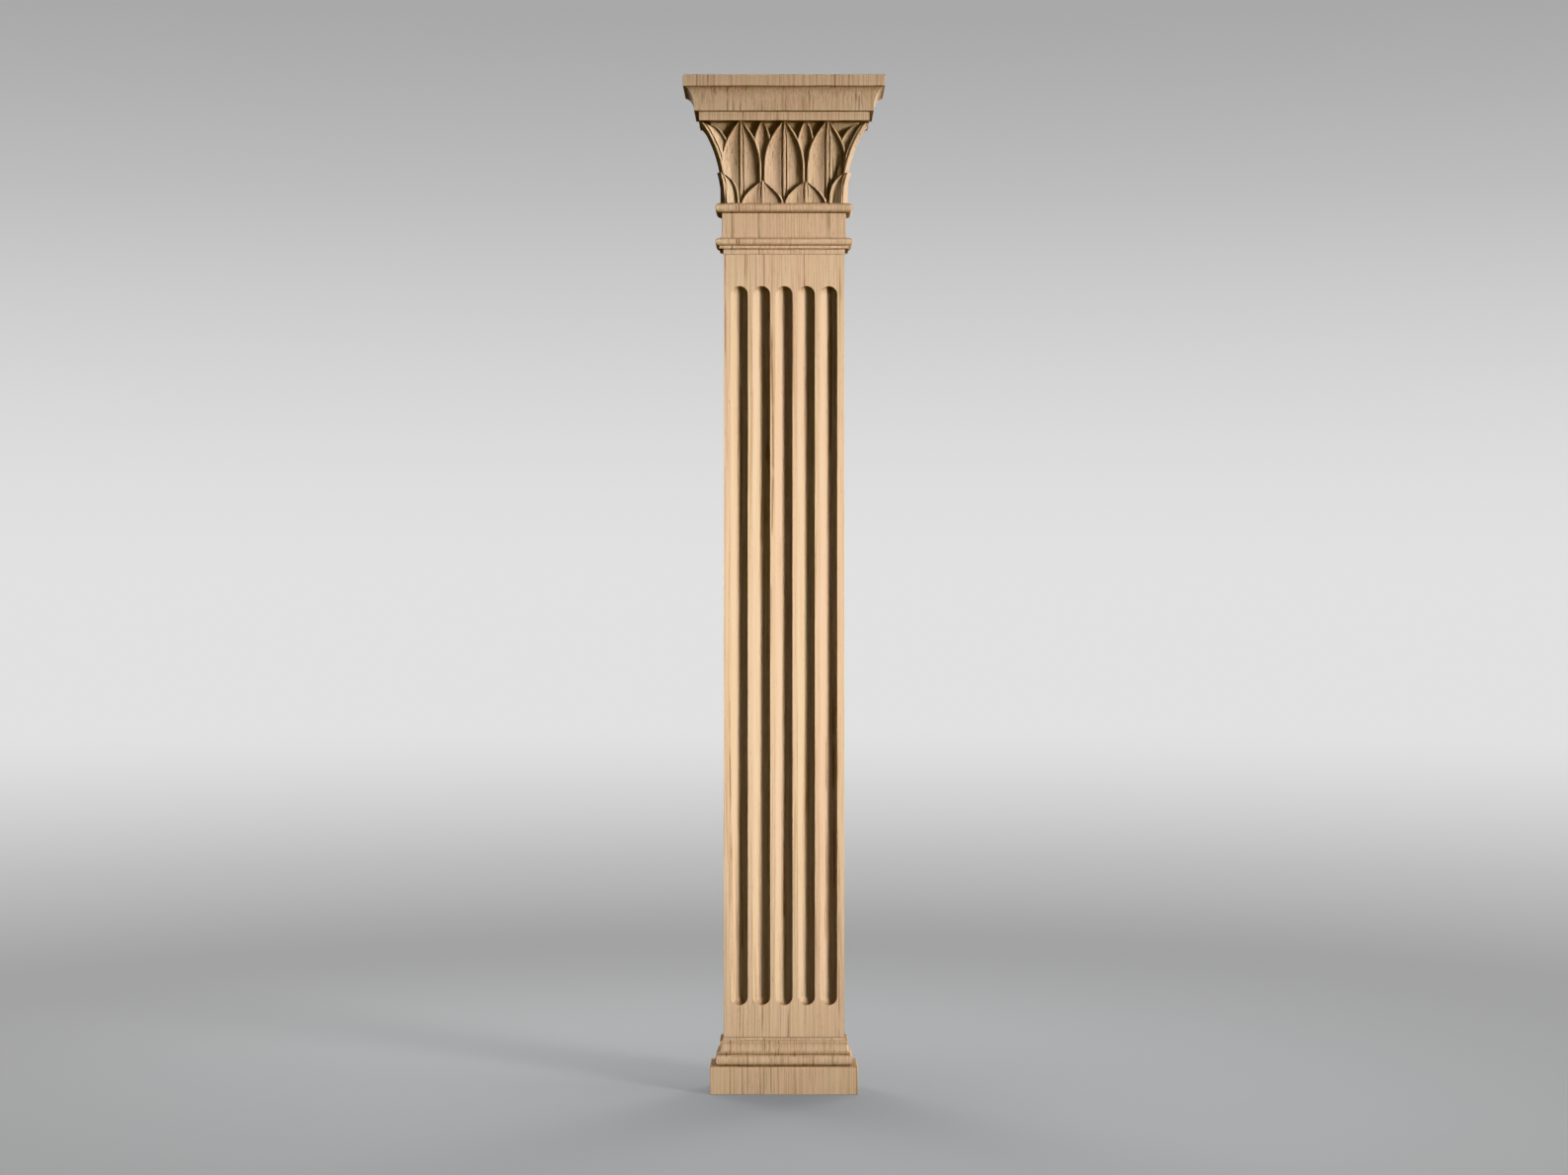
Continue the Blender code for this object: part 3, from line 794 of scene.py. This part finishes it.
# How far the grain drifts sideways, and how strongly each marking shows
DRIFT_REACH = 0.012
STRAW_SHARE = 0.75
STREAK_SHARE = 0.42
LEAST_STREAK = 0.45
HAIR_SHARE = 0.5
RING_SHARE = 0.6
PORE_SHARE = 0.45
END_GRAIN_SHARE = 0.4

# The wood's gloss and its fine relief
ROUGHNESS = (0.66, 0.80)
WOOD_SPECULAR = 0.12
BUMP_STRENGTH = 0.35
BUMP_DISTANCE = 0.0003
FINE_RELIEF = 0.6
PORE_RELIEF = 0.5
HAIR_RELIEF = 0.3
RIPPLE_START = 0.001
RIPPLE_FULL = 0.004

# Where in the grain each piece lies
BASE_GRAIN = (0.31, 0.17, 0.4)
SHAFT_GRAIN = (0.0, 0.0, 0.0)
CAPITAL_GRAIN = (0.53, 0.29, 0.9)


def drifting(n, place):
    """The place with a slow sideways drift along the grain, so that no streak runs dead straight."""
    drift = n.math("MULTIPLY", n.math("SUBTRACT", n.noise(place, DRIFT), 0.5), DRIFT_REACH)
    shift = n.add("ShaderNodeCombineXYZ", {0: drift, 1: drift, 2: 0.0}).outputs[0]
    return n.add("ShaderNodeVectorMath", {0: place, 1: shift}, operation="ADD").outputs[0]


def grain_colour(n, grain, fine, hair, pore):
    """A pale ground with rosy and straw bands, darker streaks and hairs, broken ring lines and pores."""
    bands = n.noise(grain, BANDS)
    colour = n.mix(n.ramp(n.noise(grain, BROAD), *ROSY_RANGE), PALE, ROSY)
    colour = n.mix(n.ramp(bands, *STRAW_RANGE, 0.0, STRAW_SHARE), colour, STRAW)
    in_bands = n.ramp(bands, *STREAK_BAND_RANGE, LEAST_STREAK, 1.0)
    streak = n.math("MULTIPLY", n.ramp(fine, *STREAK_RANGE), in_bands)
    colour = n.mix(n.math("MULTIPLY", streak, STREAK_SHARE), colour, STREAK)
    colour = n.mix(n.ramp(hair, *HAIR_RANGE, 0.0, HAIR_SHARE), colour, STREAK)
    unbroken = n.ramp(n.noise(grain, BREAKS), *BREAK_RANGE)
    line = n.math("MULTIPLY", n.ramp(n.noise(grain, RINGS), *RING_RANGE), unbroken)
    colour = n.mix(n.math("MULTIPLY", line, RING_SHARE), colour, PORE)
    return n.mix(n.math("MULTIPLY", pore, PORE_SHARE), colour, PORE)


def darker_across(n, colour):
    """The colour made darker where the wood is cut across its grain."""
    normal = n.add("ShaderNodeNewGeometry").outputs["Normal"]
    upward = n.add("ShaderNodeSeparateXYZ", {0: normal}).outputs[2]
    across = n.ramp(n.math("ABSOLUTE", upward), *END_GRAIN_RANGE, 0.0, END_GRAIN_SHARE)
    return n.mix(across, colour, END_GRAIN, "MULTIPLY")


def darker_bounce(n, colour):
    """Bounced light meets a dark grey, so that hollows look nearly as dark as in the photograph."""
    bounced = n.add("ShaderNodeLightPath").outputs["Is Diffuse Ray"]
    return n.mix(bounced, colour, BOUNCE)


def ripples(n, own):
    """The faint cross ripples that the cutter leaves at the bottom of the flutes."""
    depth = n.add("ShaderNodeSeparateXYZ", {0: own}).outputs[1]
    inside = n.ramp(depth, FACE_Y + RIPPLE_START, FACE_Y + RIPPLE_FULL)
    return n.math("MULTIPLY", n.noise(own, RIPPLES), inside)


def wood(name, offset, rippled=False):
    """Pale straight-grained wood, its grain along Z. The offset moves the grain from piece to piece."""
    material = bpy.data.materials.new(name)
    n = Nodes(material)
    own = n.add("ShaderNodeTexCoord").outputs["Object"]
    grain = drifting(n, n.mapped(own, offset=offset))
    fine = n.noise(grain, FINE)
    hair = n.noise(grain, HAIR)
    pore = n.ramp(n.noise(grain, PORES), *PORE_RANGE)

    colour = darker_across(n, grain_colour(n, grain, fine, hair, pore))
    n.give(n.shader.inputs["Base Color"], darker_bounce(n, colour))
    n.give(n.shader.inputs["Roughness"], n.ramp(fine, *ROUGH_RANGE, *ROUGHNESS))
    n.shader.inputs["Metallic"].default_value = 0.0
    n.shader.inputs["Specular IOR Level"].default_value = WOOD_SPECULAR

    sunk = n.math("MULTIPLY", pore, PORE_RELIEF)
    height = n.math("SUBTRACT", n.math("MULTIPLY", fine, FINE_RELIEF), sunk)
    height = n.math("ADD", height, n.math("MULTIPLY", hair, HAIR_RELIEF))
    if rippled:
        height = n.math("ADD", height, ripples(n, own))
    bump = n.add("ShaderNodeBump", {"Strength": BUMP_STRENGTH, "Distance": BUMP_DISTANCE,
                                    "Height": height})
    n.give(n.shader.inputs["Normal"], bump.outputs[0])
    return material


# Pieces

def dressed(piece, node, material):
    """Gives a piece its material, and puts it in the place of its node."""
    piece.data.materials.clear()
    piece.data.materials.append(material)
    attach(piece, "root")
    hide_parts(node)


def make_base(parts):
    base = swept("base_fine", base_profile(), parts)
    shaded(base, SMOOTH_ANGLE)
    return base


def make_shaft(parts):
    flutes = new_collection("flute_cutters")
    add_flutes(flutes)
    shaft = box("shaft_fine", SHAFT_LOW, SHAFT_HIGH, parts)
    boolean(shaft, "DIFFERENCE", flutes)
    soft_arrises(shaft, ARRIS)
    shaft = frozen(shaft, parts)
    drop(flutes)
    shaded(shaft, SMOOTH_ANGLE)
    return shaft


def make_capital(parts):
    leaves = new_collection("leaf_solids")
    walls = new_collection("wall_cutter")
    add_leaves(leaves)
    reach = SHAFT_HALF + 2 * TOP_PROJECTION
    box("wall", (-reach, WALL_Y, CAPITAL_LOW[2] - TOP_PROJECTION),
        (reach, WALL_Y + 2 * reach, CAPITAL_HIGH[2] + TOP_PROJECTION), walls)
    capital = swept("capital_fine", capital_profile(), parts)
    boolean(capital, "UNION", leaves, "MANIFOLD")
    boolean(capital, "DIFFERENCE", walls, "MANIFOLD")
    weld(capital)
    capital = frozen(capital, parts)
    without_pockets(capital)
    drop(leaves)
    drop(walls)
    shaded(capital, LEAF_SMOOTH_ANGLE)
    return capital


# Stage

# The backdrop's tones, and how steep the view is where it is darkest
HORIZON = 0.80
ZENITH = 0.42
ZENITH_HEIGHT = 0.22

# The floor's painted glow near the piece, dim there as painted shade, and the square root of the distance
# at which it reaches the horizon's
FLOOR_RADIUS = 14.0
FLOOR_SIDES = 96
NEAR_FLOOR = 0.17
FLOOR_FADE = 2.8

# The floor takes light and shadow near the piece, and less and less between these distances
SHADOW_TONE = (0.3, 0.3, 0.3, 1.0)
SHADOW_NEAR = 0.2
SHADOW_FAR = 1.4

# The light of the world on the piece, and the key light, its angles in degrees
FILL = 0.09
FILL_COLOUR = (0.85, 1.0, 1.3, 1.0)
KEY_COLOUR = (1.0, 0.99, 0.97)
KEY_POWER = 890.0
KEY_DISTANCE = 3.0
KEY_RADIUS = 0.52
KEY_AZIMUTH = 50.0
KEY_ELEVATION = 8.0
KEY_SPREAD = 24.0
KEY_AIM = 0.49

# The soft lights: name, place, power in watts and diameter
SOFT_LIGHTS = (("front", (-0.5, -3.4, 0.75), 5.0, 1.6),
               ("side", (2.6, -0.25, 0.3), 30.0, 1.2),
               ("top", (0.0, 0.6, 2.8), 18.0, 1.2),
               ("back_left", (-1.7, 2.7, 1.5), 36.0, 1.4),
               ("back_right", (1.7, 2.7, 1.5), 36.0, 1.4))


def make_floor(stage):
    """A pale floor, darkest near the piece, which passes into the backdrop without an edge. Its glow, seen
    only by the camera, is painted light, and its darkness near the piece is painted shade.
    """
    bm = bmesh.new()
    bmesh.ops.create_circle(bm, cap_ends=True, radius=FLOOR_RADIUS, segments=FLOOR_SIDES)
    mesh = bpy.data.meshes.new("floor")
    bm.to_mesh(mesh)
    bm.free()
    floor = add_object("floor", mesh, stage)
    material = bpy.data.materials.new("floor")
    n = Nodes(material)
    place = n.add("ShaderNodeTexCoord").outputs["Object"]
    out = n.add("ShaderNodeVectorMath", {0: place}, operation="LENGTH").outputs["Value"]
    # Painted light: the floor glows for the camera only, dim near the piece as painted shade and brighter
    # farther out
    glow = n.ramp(n.math("POWER", out, 0.5), 0.0, FLOOR_FADE, NEAR_FLOOR, HORIZON)
    seen = n.add("ShaderNodeLightPath").outputs["Is Camera Ray"]
    n.give(n.shader.inputs["Emission Strength"], n.math("MULTIPLY", glow, seen))
    n.shader.inputs["Emission Color"].default_value = WHITE
    near = n.ramp(out, SHADOW_NEAR, SHADOW_FAR, 1.0, 0.0)
    n.give(n.shader.inputs["Base Color"], n.mix(near, BLACK, SHADOW_TONE))
    n.shader.inputs["Roughness"].default_value = 1.0
    n.shader.inputs["Specular IOR Level"].default_value = 0.0
    mesh.materials.append(material)


def add_light(name, kind, place, target, power, colour=(1.0, 1.0, 1.0)):
    light = bpy.data.lights.new(name, kind)
    light.energy = power
    light.color = colour
    obj = bpy.data.objects.new(name, light)
    bpy.context.scene.collection.objects.link(obj)
    obj.location = place
    direction = Vector(target) - Vector(place)
    obj.rotation_euler = direction.to_track_quat("-Z", "Y").to_euler()
    return obj


def make_lights():
    """A nearly level key light from the front right that fades up and down, and five soft lights."""
    middle = Vector((0.0, 0.0, KEY_AIM))
    azimuth = math.radians(KEY_AZIMUTH)
    elevation = math.radians(KEY_ELEVATION)
    level = math.cos(elevation)
    way = Vector((level * math.sin(azimuth), -level * math.cos(azimuth), math.sin(elevation)))
    key = add_light("key", "SPOT", middle + way * KEY_DISTANCE, middle, KEY_POWER, KEY_COLOUR)
    key.data.shadow_soft_size = KEY_RADIUS
    key.data.spot_size = math.radians(KEY_SPREAD)
    key.data.spot_blend = 1.0
    for name, place, power, size in SOFT_LIGHTS:
        soft = add_light(name, "AREA", place, middle, power)
        soft.data.shape = "DISK"
        soft.data.size = size


def make_world():
    """A pale backdrop, a little darker higher up. It lights the piece less than it shows."""
    world = bpy.data.worlds.new("studio")
    bpy.context.scene.world = world
    n = Nodes(world)
    background = n.tree.nodes["Background"]
    direction = n.add("ShaderNodeTexCoord").outputs["Generated"]
    height = n.add("ShaderNodeSeparateXYZ", {0: direction}).outputs[2]
    tone = n.ramp(height, 0.0, ZENITH_HEIGHT, HORIZON, ZENITH)
    seen = n.add("ShaderNodeLightPath").outputs["Is Camera Ray"]
    strength = n.add("ShaderNodeMix", {0: seen, 2: FILL, 3: tone}).outputs[0]
    n.give(background.inputs[0], n.mix(seen, FILL_COLOUR, WHITE))
    n.give(background.inputs[1], strength)


def make_camera():
    camera = bpy.data.cameras.new("camera")
    camera.sensor_width = SENSOR
    camera.lens = LENS
    obj = bpy.data.objects.new("camera", camera)
    bpy.context.scene.collection.objects.link(obj)
    obj.location = (0.0, FACE_Y - CAMERA_DISTANCE, CAMERA_HEIGHT)
    obj.rotation_euler = (math.radians(90), 0.0, 0.0)
    bpy.context.scene.camera = obj


bpy.context.scene.view_settings.view_transform = "Khronos PBR Neutral"
make_camera()
make_world()
make_lights()
make_floor(new_collection("stage"))

pieces = new_collection("pilaster")
dressed(make_base(pieces), "base", wood("base_wood", BASE_GRAIN))
dressed(make_shaft(pieces), "shaft", wood("shaft_wood", SHAFT_GRAIN, rippled=True))
dressed(make_capital(pieces), "capital", wood("capital_wood", CAPITAL_GRAIN))
